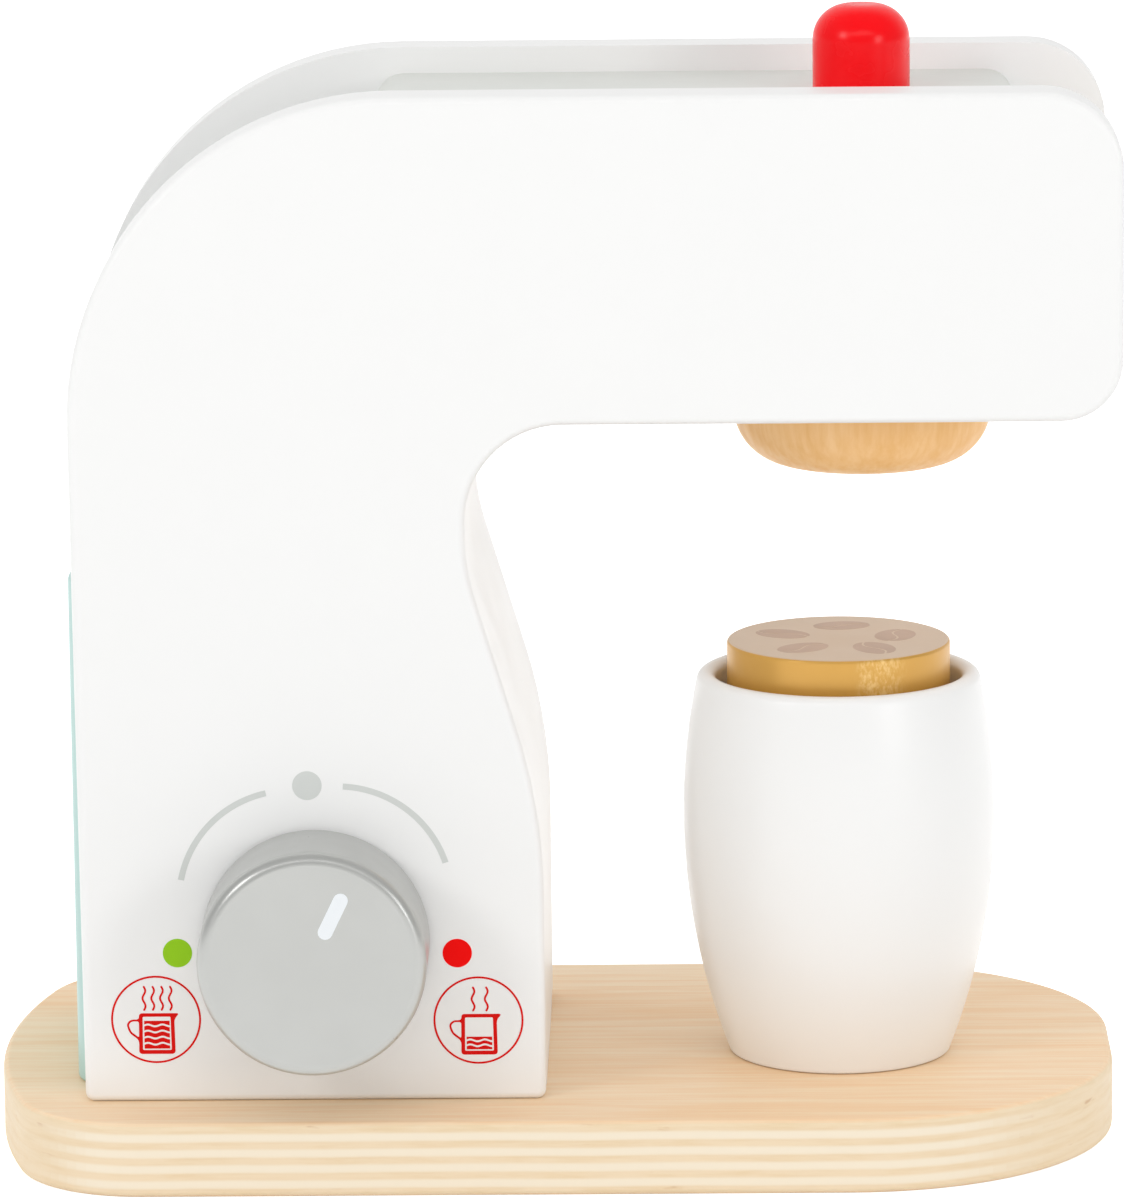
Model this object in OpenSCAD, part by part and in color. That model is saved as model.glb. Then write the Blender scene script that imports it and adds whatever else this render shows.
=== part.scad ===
// Toy coffee maker in wood: two seven-shaped side panels on an oval plywood base, joined by
// boards, with a push button over the spout, a turning knob, a cup and a coffee pod.
// Millimetres. +Z is up, +X runs along the arm to its nose and -Y is the side with the knob.
// The origin is the middle of the base's underside.

/* [Base board] */
// Length of the base
base_l = 240; // [220:1:280]
// Depth of the base, front to back
base_w = 136.6; // [124:0.2:160]
// Thickness of the base
base_t = 16; // [12:0.5:24]
// Corner radius of the nose end
nose_end_r = 57; // [35:1:61]
// Radius of the bulged tail end
tail_end_r = 175; // [100:1:400]
// Corner radius of the tail end
tail_corner_r = 28; // [8:1:40]

/* [Side panels] */
// How far the arm's nose stands beyond the base's nose end
nose_over = 0; // [-12:0.5:6]
// Height of the panels above the base
body_h = 213.6; // [200:0.2:235]
// Height of the arm
arm_h = 69; // [58:0.1:76]
// Distance over the outside of both panels
body_w = 92; // [80:0.5:104]
// Thickness of a panel
panel_t = 12; // [9:0.5:16]
// Base board left free behind the column
tail_gap = 20; // [8:0.1:30]
// How far the body stands nearer the knob side than the base's middle
body_shift = 3.9; // [0:0.1:10]
// Radius of the shoulder
shoulder_r = 68; // [40:1:72]
// Radius of the nose's upper corner
nose_top_r = 16.5; // [8:0.5:28]
// Radius of the nose's lower corner
nose_low_r = 13; // [6:0.5:24]
// Radius of the panels' two corners on the base
foot_corner_r = 2; // [0.5:0.1:6]
// How much the column's back leans in at its foot
rear_lean = 0.9; // [0:0.1:5]

/* [Column front] */
// Width of the column at its waist
waist_w = 82.7; // [76:0.1:88]
// Width of the column at its foot
foot_w = 98.4; // [94:0.1:106]
// Radius of the corner under the arm
bay_r = 20.5; // [12:0.5:24]
// Radius of the waist, where the column begins to flare
waist_r = 46; // [20:1:90]
// Lean of the straight stretch below the waist, in degrees
flare_angle = 16.9; // [16:0.1:26]
// Radius that rounds the flare into the upright foot
flare_r = 124; // [60:1:140]
// Height where the upright foot ends
flare_z = 44; // [20:1:50]
// Thickness of the curved front board and of the arm's floor
lining_t = 12; // [8:0.5:14]
// How far the front board and the floor lie inside the panels' edges
lining_recess = 0.5; // [0.2:0.1:3]

/* [Top board] */
// Thickness of the top board
top_t = 12; // [8:0.5:14]
// How far it lies below the panels' tops
top_recess = 5.7; // [2:0.1:10]
// Distance from the column's back to its rear end
top_start = 62.5; // [56:0.1:90]
// Distance from its front end to the arm's nose
top_nose_gap = 20; // [8:0.1:26]

/* [Water tank] */
// Height of the tank
tank_h = 110; // [90:1:156]
// Thickness of the tank
tank_t = 30; // [24:1:33]
// How far the tank stands out behind the panels
tank_proud = 2; // [0.5:0.1:4]
// Radius of its upright rear corners
tank_corner_r = 9; // [3:0.5:14]

/* [Push button and spout] */
// Distance from the arm's nose to the axis of the button and the spout
spout_inset = 53.4; // [50:0.1:62]
// Radius of the button
button_r = 10.3; // [8:0.1:12]
// Height of the button above the top board
button_h = 18.7; // [15:0.1:24]
// Radius that rounds the button's head
button_round = 7.5; // [3:0.1:7.9]
// Travel of the button
button_travel = 8; // [4:0.5:10]
// Gap round the button in the top board
button_gap = 0.3; // [0.2:0.05:0.6]
// Radius of the stop washer under the button
stop_r = 13; // [12.8:0.1:14]
// Thickness of the stop washer
stop_t = 2; // [1:0.5:3]
// Radius of the spring, over its wire
spring_r = 11; // [9:0.25:12]
// Thickness of the spring's wire
spring_wire = 1.6; // [1:0.1:2]
// Turns of the spring
spring_turns = 7; // [4:1:9]
// Length of the block that houses the button, along the arm
housing_l = 40; // [34:1:46]
// Radius of the spout's rim
spout_r = 27.5; // [22:0.1:32]
// Radius that rounds the spout
spout_round = 12; // [8:0.5:16]
// How far the spout hangs below the panels
spout_drop = 16.1; // [14.2:0.1:24]

/* [Knob] */
// Radius of the knob
knob_r = 24; // [18:0.1:26]
// Height of the knob
knob_h = 22; // [16:0.5:26]
// Radius that rounds the knob's front edge
knob_round = 2.5; // [1:0.1:5]
// Distance from the column's back to the knob's axis
knob_inset = 50.3; // [48:0.1:56]
// Height of the knob's axis above the base
knob_z = 35.1; // [28:0.1:60]
// Radius of the knob's axle
axle_r = 2.5; // [2:0.1:3]
// Radial gap of the axle in the panel
axle_gap = 0.08; // [0.03:0.01:0.1]
// Depth of the axle in the knob
axle_depth = 14; // [9:0.5:15]
// Thickness of the glide washer between knob and panel
glide_t = 1; // [0.5:0.1:1.5]
// Radius of the glide washer
glide_r = 9; // [6:0.5:14]

/* [Cup and pod] */
// Height of the cup
cup_h = 83.5; // [76:0.5:90]
// Largest radius of the cup
cup_r = 33.45; // [31:0.05:36]
// Height of the cup's largest radius
cup_belly_z = 52.5; // [46:0.5:56]
// Radius of the barrel-shaped side, seen from the side
cup_side_r = 146; // [120:1:300]
// Radius of the cup's mouth
mouth_r = 26.7; // [26:0.05:27.5]
// Thickness of the cup's solid foot
cup_floor = 38; // [24:1:44]
// Radius that rounds the cup's inside at its floor
cup_floor_round = 8; // [3:0.5:11]
// Radius of the coffee pod
pod_r = 23.9; // [22:0.05:24.6]
// Height of the coffee pod
pod_h = 20; // [16:0.5:24]
// Height of the pod above the cup's rim
pod_above = 6.8; // [3:0.1:9]
// Radius that breaks the pod's edges
pod_edge = 0.8; // [0.3:0.1:1.5]
// How far the cup stands from the spout's axis, back towards the column
cup_back = 5.3; // [0:0.1:12]
// How far the cup stands from the spout's axis, towards the knob side
cup_front = 3.5; // [0:0.1:12]

/* [Joinery] */
// Radius of the dowels
dowel_r = 3; // [2:0.25:3.5]
// Depth of a dowel in a panel
dowel_in_panel = 8; // [5:0.5:8.5]
// Depth of a dowel in a board
dowel_in_board = 11; // [6:0.5:13]
// Radial gap of glued and screwed fits
fit_gap = 0.05; // [0.02:0.01:0.1]
// Shank radius of the wood screws
screw_r = 2; // [1.5:0.1:2.3]
// Head radius of the wood screws
screw_head_r = 4; // [3:0.1:4.5]
// Depth of the base screws in the panels and the tank
screw_bite = 24; // [14:1:30]

/* [Hidden] */
$fn = 96;

cut = 1;                  // how far a cutting shape runs past the face it cuts
rest_gap = 0.1;           // running gap between pieces that lie on each other but can move

white_paint = [0.96, 0.96, 0.95];
silver_paint = [0.76, 0.77, 0.77];
red_paint = [0.86, 0.09, 0.12];
tank_blue = [0.66, 0.84, 0.85];
birch = [0.87, 0.75, 0.58];
spout_wood = [0.88, 0.72, 0.46];
gold_paint = [0.80, 0.62, 0.26];
steel = [0.70, 0.71, 0.73];
felt = [0.25, 0.25, 0.26];

// Places across the body
body_y = -body_shift;
near_out = body_y - body_w / 2;
near_in = near_out + panel_t;
far_in = body_y + body_w / 2 - panel_t;
gap_w = far_in - near_in;

// Places along the body, and heights above the base
back_x = tail_gap - base_l / 2;
arm_l = base_l - tail_gap + nose_over;
nose_x = back_x + arm_l;
spout_x = nose_x - spout_inset;
under_z = body_h - arm_h;
top_z = body_h - top_recess;
top_under = top_z - top_t;
top_x0 = back_x + top_start;
top_x1 = nose_x - top_nose_gap;
floor_under = under_z + lining_recess;
floor_top = floor_under + lining_t;
floor_x0 = back_x + waist_w + bay_r;

// The curve of the column's front, in side view from the column's back: n is the unit
// vector square to the straight stretch, and the two arcs meet it where it is tangent
flare_n = [cos(flare_angle), sin(flare_angle)];
flare_c = [foot_w - flare_r, flare_z];
waist_c = [waist_w + waist_r, flare_z
    + (waist_r + flare_r - (waist_w + waist_r - foot_w + flare_r) * flare_n.x) / flare_n.y];

// Dowel places in side view
edge_in = 22;             // from a board's end to its dowel
lining_mid = lining_recess + lining_t / 2;
top_dowels = [[top_x0 + edge_in, top_z - top_t / 2], [top_x1 - edge_in, top_z - top_t / 2]];
floor_dowels = [[floor_x0 + edge_in, floor_under + lining_t / 2],
                [top_x1 - edge_in / 2, floor_under + lining_t / 2]];
flare_mid = (flare_c + flare_r * flare_n + waist_c - waist_r * flare_n) / 2 - lining_mid * flare_n;
front_dowels = [[back_x + foot_w - lining_mid, edge_in], [back_x + flare_mid.x, flare_mid.y]];
tank_back = back_x - tank_proud;
tank_dowels = [[tank_back + tank_t / 2, edge_in], [tank_back + tank_t / 2, tank_h - edge_in]];
housing_z = (floor_top + top_under) / 2;
housing_dowels = [for (s = [-1, 1]) [spout_x + s * (housing_l / 2 - 8), housing_z]];

bore_gap = 0.8;           // radial gap of the spring and the stop washer in the housing

// Fasteners
sink = 0.3;               // how far a countersunk head lies below its face
screw_inset = 24;         // from the column's back and foot to the panel screws
base_screw_places = [
    for (y = [near_out + panel_t / 2, far_in + panel_t / 2],
         x = [back_x + screw_inset, back_x + foot_w - screw_inset]) [x, y],
    for (s = [-1, 1]) [tank_back + tank_t / 2, body_y + s * gap_w / 4]];
pilot_depth = 12;         // depth of the stop screw in the button
spout_bite = 10;          // depth of the spout screw in the spout
pan_h = 2.4;              // height of a pan head
washer_t = 1.2;
washer_r = 6;
nut_r = 4.6;              // over the nut's corners
nut_t = 5;
axle_end = 1.5;           // axle left beyond the nut

// Cup
rim_r = (belly_r(cup_h) - mouth_r) / 2;
rim_z = cup_h - rim_r;
pod_z = cup_h + pod_above - pod_h;
bore_slope = (mouth_r - pod_r - fit_gap) / (rim_z - pod_z - pod_edge);
cup_x = spout_x - cup_back;
cup_y = body_y - cup_front;
cup_foot_edge = 1;

function belly_r(z) = cup_r - cup_side_r + sqrt(pow(cup_side_r, 2) - pow(z - cup_belly_z, 2));
function bore_r(z) = mouth_r - bore_slope * (rim_z - z);

// Raises a piece from the top of the base
module on_base() {
    translate([0, 0, base_t]) children();
}

// A side view drawn in X and Z, made t thick from y on towards +Y
module slab(y, t) {
    translate([0, y + t, base_t]) rotate([90, 0, 0]) linear_extrude(t) children();
}

// The waste outside a rounded corner whose two sides run along +X and +Y from the origin
module corner_waste(r) {
    difference() {
        translate([-cut, -cut]) square(r + cut);
        translate([r, r]) circle(r);
    }
}

// The sector of a circle between two angles less than a half turn apart
module sector(r, start, end) {
    reach = 2 * r;
    intersection() {
        circle(r);
        polygon([[0, 0], for (a = [start, (start + end) / 2, end]) reach * [cos(a), sin(a)]]);
    }
}

// The waste outside a circle, between the two lines that touch it at these angles
module round_off(r, start, end) {
    difference() {
        sector(2 * r, start, end);
        circle(r);
    }
}

// Half of a rounded section, to be turned round its axis: r wide, h high, top edge round
module turned_profile(r, h, round) {
    square([r - round, h]);
    square([r, h - round]);
    translate([r - round, h - round]) circle(round);
}

module turned(r, h, round) {
    rotate_extrude() intersection() {
        turned_profile(r, h, round);
        square([r, h]);
    }
}

// ---- base ----

// A shape and its mirror image across the X axis
module both_sides() {
    children();
    mirror([0, 1]) children();
}

// A rounded bar whose tail end bulges: each of its tail corners is an arc that meets the side
// and the bulge where it is tangent to them
module base_outline() {
    half = base_w / 2;
    tail = -base_l / 2;
    bulge_x = tail + tail_end_r;
    corner_y = half - tail_corner_r;
    corner_x = bulge_x - sqrt(pow(tail_end_r - tail_corner_r, 2) - pow(corner_y, 2));
    bulge = atan(corner_y / (bulge_x - corner_x));
    difference() {
        translate([tail - cut, -half]) square([base_l + cut, base_w]);
        difference() {
            translate([tail - 2 * cut, -half - cut]) square([base_l / 2, base_w + 2 * cut]);
            translate([bulge_x, 0]) circle(tail_end_r);
        }
        both_sides() {
            translate([base_l / 2, half]) rotate(180) corner_waste(nose_end_r);
            translate([corner_x, corner_y]) round_off(tail_corner_r, 90, 180 - bulge);
        }
    }
}

// A countersunk wood screw with its head's face at the origin and its shank up +Z
module wood_screw(length) {
    difference() {
        union() {
            cylinder(r1 = screw_head_r, r2 = screw_r, h = screw_head_r - screw_r);
            cylinder(r = screw_r, h = length - screw_r);
            translate([0, 0, length - screw_r]) cylinder(r1 = screw_r, r2 = 0.3, h = screw_r);
        }
        for (a = [0, 90]) rotate(a)
            translate([-screw_head_r / 2, -0.45, -cut]) cube([screw_head_r, 0.9, cut + 1.2]);
    }
}

// The hole for that screw, from the face below it
module screw_hole(length) {
    cylinder(r = screw_r + fit_gap, h = length + sink + 0.5);
    translate([0, 0, sink - fit_gap])
        cylinder(r1 = screw_head_r + fit_gap, r2 = screw_r, h = screw_head_r - screw_r + fit_gap);
    translate([0, 0, -cut]) cylinder(r = screw_head_r + fit_gap, h = cut + sink);
}

module base_screw_holes() {
    for (p = base_screw_places) translate([p.x, p.y, 0]) screw_hole(base_t + screw_bite);
}

module base_board() {
    color(birch) difference() {
        linear_extrude(base_t) base_outline();
        base_screw_holes();
    }
}

module base_screws() {
    color(steel) for (p = base_screw_places)
        translate([p.x, p.y, sink]) wood_screw(base_t + screw_bite);
}

// ---- side panels and the boards between them ----

// The open bay in front of the column and under the arm, made larger on the column's side
// by inset, so that the linings follow the same curve
module bay(inset) {
    waist = waist_w - inset;
    r = waist_r + inset;
    difference() {
        union() {
            polygon([[waist, under_z + inset], [waist, waist_c.y], waist_c - r * flare_n,
                     flare_c + (flare_r - inset) * flare_n, [foot_w - inset, flare_z],
                     [foot_w - inset, -cut], [arm_l + cut, -cut], [arm_l + cut, under_z + inset]]);
            translate(waist_c) sector(r, 180, 180 + flare_angle);
        }
        translate([waist, under_z + inset]) mirror([0, 1]) corner_waste(bay_r + inset);
        translate(flare_c) circle(flare_r - inset);
    }
}

// The seven-shaped outline, from the column's back at x = 0 and the base at y = 0
module panel_outline() {
    difference() {
        square([arm_l, body_h]);
        translate([0, body_h]) mirror([0, 1]) corner_waste(shoulder_r);
        translate([arm_l, body_h]) rotate(180) corner_waste(nose_top_r);
        translate([arm_l, under_z]) mirror([1, 0]) corner_waste(nose_low_r);
        polygon([[-cut, -cut], [rear_lean, -cut], [rear_lean, foot_corner_r],
                 [0, body_h - shoulder_r], [-cut, body_h - shoulder_r]]);
        translate([rear_lean, 0]) corner_waste(foot_corner_r);
        translate([foot_w, 0]) mirror([1, 0]) corner_waste(foot_corner_r);
        bay(0);
    }
}

// Holes for the dowels at these places, in both panels and in the board between them
module dowel_holes(places) {
    depth = dowel_in_panel + dowel_in_board;
    for (p = places, y = [near_in - dowel_in_panel, far_in - dowel_in_board])
        translate([p.x, y, base_t + p.y]) rotate([-90, 0, 0])
            cylinder(r = dowel_r + fit_gap, h = depth);
}

all_dowels = concat(top_dowels, floor_dowels, front_dowels, tank_dowels, housing_dowels);

module panel(y) {
    difference() {
        slab(y, panel_t) translate([back_x, 0]) panel_outline();
        dowel_holes(all_dowels);
        base_screw_holes();
    }
}

module near_panel() {
    color(white_paint) difference() {
        panel(near_out);
        translate([back_x + knob_inset, near_out - cut, base_t + knob_z]) rotate([-90, 0, 0])
            cylinder(r = axle_r + axle_gap, h = panel_t + 2 * cut);
    }
}

module far_panel() {
    color(white_paint) panel(far_in);
}

// The band that lines the bay, lining_t thick, between two distances from the column's back
module lining(x0, x1) {
    translate([back_x, 0]) intersection() {
        difference() {
            bay(lining_recess + lining_t);
            bay(lining_recess);
        }
        translate([x0 - back_x, 0]) square([x1 - x0, body_h]);
    }
}

module column_front() {
    color(white_paint) difference() {
        slab(near_in, gap_w) lining(back_x, floor_x0);
        dowel_holes(front_dowels);
    }
}

// A board in side view whose two ends are half rounds
module round_ended(x0, x1, z, t, round_start) {
    r = t / 2;
    start = round_start ? x0 + r : x0;
    translate([start, z]) square([x1 - r - start, t]);
    translate([x1 - r, z + r]) circle(r);
    if (round_start) translate([start, z + r]) circle(r);
}

module arm_floor() {
    color(white_paint) difference() {
        slab(near_in, gap_w) round_ended(floor_x0, top_x1, floor_under, lining_t, false);
        dowel_holes(floor_dowels);
        on_base() translate([spout_x, body_y, floor_under - cut])
            cylinder(r = screw_r + fit_gap, h = lining_t + 2 * cut);
    }
}

module top_board() {
    color(silver_paint) difference() {
        slab(near_in, gap_w) round_ended(top_x0, top_x1, top_under, top_t, true);
        dowel_holes(top_dowels);
        on_base() translate([spout_x, body_y, top_under - cut])
            cylinder(r = button_r + button_gap, h = top_t + 2 * cut);
    }
}

module water_tank() {
    color(tank_blue) difference() {
        on_base() linear_extrude(tank_h) difference() {
            translate([tank_back, near_in]) square([tank_t, gap_w]);
            translate([tank_back, near_in]) corner_waste(tank_corner_r);
            translate([tank_back, far_in]) mirror([0, 1]) corner_waste(tank_corner_r);
        }
        dowel_holes(tank_dowels);
        base_screw_holes();
    }
}

// Its bore is stepped: the stop washer lands on the ledge at the end of the button's travel
module button_housing() {
    ledge_z = top_under - stop_t - button_travel - rest_gap;
    color(birch) difference() {
        slab(near_in, gap_w) translate([spout_x - housing_l / 2, floor_top])
            square([housing_l, top_under - floor_top]);
        dowel_holes(housing_dowels);
        on_base() translate([spout_x, body_y, floor_top - cut])
            cylinder(r = spring_r + bore_gap, h = ledge_z - floor_top + 2 * cut);
        on_base() translate([spout_x, body_y, ledge_z])
            cylinder(r = stop_r + bore_gap, h = top_under - ledge_z + cut);
    }
}

module panel_dowels() {
    end_gap = 0.3;
    length = dowel_in_panel + dowel_in_board - 2 * end_gap;
    color(birch) for (p = all_dowels, y = [near_in - dowel_in_panel, far_in - dowel_in_board])
        translate([p.x, y + end_gap, base_t + p.y]) rotate([-90, 0, 0])
            cylinder(r = dowel_r, h = length);
}

// ---- push button ----

// Puts a turned piece on the axis of the button and the spout, at this height over the base
module on_axis(z) {
    translate([spout_x, body_y, base_t + z]) children();
}

module button_cap() {
    length = button_h + top_t;
    color(red_paint) on_axis(top_under) difference() {
        turned(button_r, length, button_round);
        translate([0, 0, -cut]) cylinder(r = screw_r + fit_gap, h = cut + pilot_depth + 0.5);
    }
}

module stop_washer() {
    color(steel) on_axis(top_under - stop_t) difference() {
        cylinder(r = stop_r, h = stop_t);
        translate([0, 0, -cut]) cylinder(r = screw_r + fit_gap, h = stop_t + 2 * cut);
    }
}

// A pan-head screw with its head below the origin and its shank up +Z
module pan_screw(length) {
    difference() {
        union() {
            cylinder(r = screw_r, h = length);
            mirror([0, 0, 1]) turned(screw_head_r, pan_h, 1.2);
        }
        for (a = [0, 90]) rotate(a)
            translate([-screw_head_r / 2, -0.45, -pan_h - cut]) cube([screw_head_r, 0.9, cut + 1.2]);
    }
}

module stop_screw() {
    color(steel) on_axis(top_under - stop_t) pan_screw(stop_t + pilot_depth);
}

// Height of the wire's middle at a share u of the spring's length: the end turns lie close
function wire_z(u, length) =
    let (turn = 1 / spring_turns, close = 1.1 * spring_wire, rise = length - spring_wire)
    spring_wire / 2 + lookup(u, [[0, 0], [turn, close], [1 - turn, rise - close], [1, rise]]);

// A round wire wound into a helix: rings of points round it, skinned with triangles
module coil(r, length) {
    sides = 8;
    steps = 24 * spring_turns;
    w = spring_wire / 2;
    points = [for (i = [0:steps]) let (a = 360 * i / (steps / spring_turns), z = wire_z(i / steps, length))
        for (k = [0:sides - 1]) let (t = 360 * k / sides)
            [(r + w * cos(t)) * cos(a), (r + w * cos(t)) * sin(a), z + w * sin(t)]];
    skin = [for (i = [0:steps - 1], k = [0:sides - 1]) let (n = (k + 1) % sides)
        for (f = [[i * sides + k, i * sides + n, (i + 1) * sides + n],
                  [i * sides + k, (i + 1) * sides + n, (i + 1) * sides + k]]) f];
    ends = [[for (k = [sides - 1:-1:0]) k], [for (k = [0:sides - 1]) steps * sides + k]];
    polyhedron(points, concat(skin, ends));
}

module button_spring() {
    color(steel) on_axis(floor_top)
        coil(spring_r - spring_wire / 2, top_under - stop_t - floor_top);
}

// ---- spout ----

module spout() {
    height = spout_drop + lining_recess;
    color(spout_wood) on_axis(floor_under) difference() {
        mirror([0, 0, 1]) turned(spout_r, height, spout_round);
        translate([0, 0, -spout_bite - 0.5]) cylinder(r = screw_r + fit_gap, h = spout_bite + 0.5 + cut);
    }
}

module spout_screw() {
    color(steel) on_axis(floor_top) mirror([0, 0, 1]) pan_screw(lining_t + spout_bite);
}

// ---- knob ----

// Puts a turned piece on the knob's axis with its +Z towards the knob side, at this distance
// out from the near panel's face
module on_knob(out) {
    translate([back_x + knob_inset, near_out - out, base_t + knob_z]) rotate([90, 0, 0]) children();
}

module knob() {
    color(silver_paint) on_knob(glide_t + rest_gap) difference() {
        turned(knob_r, knob_h, knob_round);
        translate([0, 0, -cut]) cylinder(r = axle_r + fit_gap, h = cut + axle_depth + 0.5);
    }
}

module knob_axle() {
    inside = panel_t + rest_gap + washer_t + nut_t + axle_end;
    color(steel) on_knob(-inside)
        cylinder(r = axle_r, h = inside + glide_t + rest_gap + axle_depth);
}

// A flat ring round the axle
module axle_ring(r, t) {
    difference() {
        cylinder(r = r, h = t);
        translate([0, 0, -cut]) cylinder(r = axle_r + fit_gap, h = t + 2 * cut);
    }
}

module knob_glide() {
    color(felt) on_knob(rest_gap) axle_ring(glide_r, glide_t);
}

module axle_washer() {
    color(steel) on_knob(-panel_t - rest_gap - washer_t) axle_ring(washer_r, washer_t);
}

module lock_nut() {
    color(steel) on_knob(-panel_t - rest_gap - washer_t - nut_t) difference() {
        cylinder(r = nut_r, h = nut_t, $fn = 6);
        translate([0, 0, -cut]) cylinder(r = axle_r + fit_gap, h = nut_t + 2 * cut);
    }
}

// ---- cup and coffee pod ----

// The cup's inside in half section: a cone that narrows to a rounded floor
module bore_profile() {
    tilt = atan(bore_slope);
    round_z = cup_floor + cup_floor_round;
    round_x = bore_r(round_z) - cup_floor_round / cos(tilt);
    polygon([[0, cup_floor], [round_x, cup_floor],
             [round_x + cup_floor_round * cos(tilt), round_z - cup_floor_round * sin(tilt)],
             [mouth_r, rim_z], [mouth_r, cup_h + cut], [0, cup_h + cut]]);
    translate([round_x, round_z]) circle(cup_floor_round);
}

module cup() {
    color(white_paint) translate([cup_x, cup_y, base_t + rest_gap]) rotate_extrude() difference() {
        union() {
            intersection() {
                translate([cup_r - cup_side_r, cup_belly_z]) circle(cup_side_r, $fn = 360);
                square([cup_r, rim_z]);
            }
            translate([mouth_r + rim_r, rim_z]) circle(rim_r);
        }
        bore_profile();
    }
}

module coffee_pod() {
    color(gold_paint) translate([cup_x, cup_y, base_t + rest_gap + pod_z]) rotate_extrude()
        intersection() {
            union() {
                translate([0, pod_edge]) turned_profile(pod_r, pod_h - pod_edge, pod_edge);
                square([pod_r - pod_edge, pod_h]);
                translate([pod_r - pod_edge, pod_edge]) circle(pod_edge);
            }
            square([pod_r, pod_h]);
        }
}

base_board();
base_screws();
near_panel();
far_panel();
column_front();
water_tank();
top_board();
arm_floor();
button_housing();
panel_dowels();
button_cap();
stop_washer();
stop_screw();
button_spring();
spout();
spout_screw();
knob();
knob_axle();
knob_glide();
axle_washer();
lock_nut();
cup();
coffee_pod();
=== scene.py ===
"""A toy coffee maker: its paints, plywood, prints and studio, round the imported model."""

import math

import bmesh
import bpy
from mathutils import Matrix, Vector


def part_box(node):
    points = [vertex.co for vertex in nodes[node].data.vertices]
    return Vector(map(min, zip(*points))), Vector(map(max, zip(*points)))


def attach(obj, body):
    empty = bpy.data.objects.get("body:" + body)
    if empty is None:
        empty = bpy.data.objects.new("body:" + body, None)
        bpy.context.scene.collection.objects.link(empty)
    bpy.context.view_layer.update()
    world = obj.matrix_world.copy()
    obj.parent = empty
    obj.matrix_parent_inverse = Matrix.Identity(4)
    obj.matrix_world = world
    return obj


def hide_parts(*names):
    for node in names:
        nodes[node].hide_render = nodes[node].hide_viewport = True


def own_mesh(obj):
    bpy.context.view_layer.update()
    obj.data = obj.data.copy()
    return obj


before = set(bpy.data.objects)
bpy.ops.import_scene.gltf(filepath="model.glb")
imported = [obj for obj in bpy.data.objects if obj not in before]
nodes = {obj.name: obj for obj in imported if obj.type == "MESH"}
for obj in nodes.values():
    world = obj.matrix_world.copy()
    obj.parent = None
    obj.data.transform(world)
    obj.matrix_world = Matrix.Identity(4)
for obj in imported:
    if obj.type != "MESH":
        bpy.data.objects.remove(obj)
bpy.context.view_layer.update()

MM = 0.001
X, Y, Z = 0, 1, 2


def tone(red, green, blue):
    """The linear colour of an 8-bit tone, as a paint chart gives it."""
    def lin(v):
        v /= 255
        return v / 12.92 if v <= 0.04045 else ((v + 0.055) / 1.055) ** 2.4
    return (lin(red), lin(green), lin(blue), 1)


def put_in_scene(name, data):
    """A new object of this mesh, lamp or camera."""
    thing = bpy.data.objects.new(name, data)
    bpy.context.scene.collection.objects.link(thing)
    return thing


# ---- paints and woods ----

WHITE_PAINT = tone(241, 241, 240)
SILVER_PAINT = tone(219, 221, 216)
KNOB_PAINT = tone(184, 185, 182)
RED_LACQUER = tone(250, 0, 14)
TANK_BLUE = tone(178, 211, 206)
GOLD_PAINT = tone(211, 161, 76)
# The next tone is a painted highlight: lighter gold that stands in for the right lamp's reflection
# on the pod's side.
GOLD_PAINTED_HIGHLIGHT = tone(230, 193, 124)
POD_TOP = tone(213, 193, 171)
PLY_FACE_LIGHT = tone(249, 225, 192)
PLY_FACE_DARK = tone(244, 206, 163)
PLY_CREAM = tone(245, 232, 210)
PLY_TAN = tone(240, 219, 187)
PLY_END_GRAIN = tone(235, 211, 174)
PLY_FLECK = tone(206, 164, 122)
SPOUT_LIGHT = tone(252, 207, 148)
SPOUT_DARK = tone(240, 185, 114)
BARE_LIGHT = tone(232, 208, 170)
BARE_DARK = tone(214, 182, 138)
STEEL = tone(186, 187, 190)
FELT_DARK = tone(74, 74, 76)
FELT_LIGHT = tone(104, 104, 106)
RED_INK = tone(220, 16, 10)
DOT_RED = tone(252, 6, 4)
DOT_GREEN = tone(150, 206, 36)
GREY_INK = tone(210, 213, 210)
MARKER_WHITE = tone(236, 240, 243)
BEAN_INK = tone(199, 176, 160)
FLOOR_TONE = tone(238, 238, 238)

# ---- the model's places that the prints follow, in millimetres ----

BASE_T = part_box("base_board")[1][2] / MM
PANEL_FACE_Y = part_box("near_panel")[0][1] / MM
KNOB_FACE_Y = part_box("knob")[0][1] / MM
POD_TOP_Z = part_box("coffee_pod")[1][2] / MM
POD_AXIS = [(low + high) / 2 / MM for low, high in zip(*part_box("coffee_pod"))][:2]


# ---- shader node helpers ----

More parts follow.
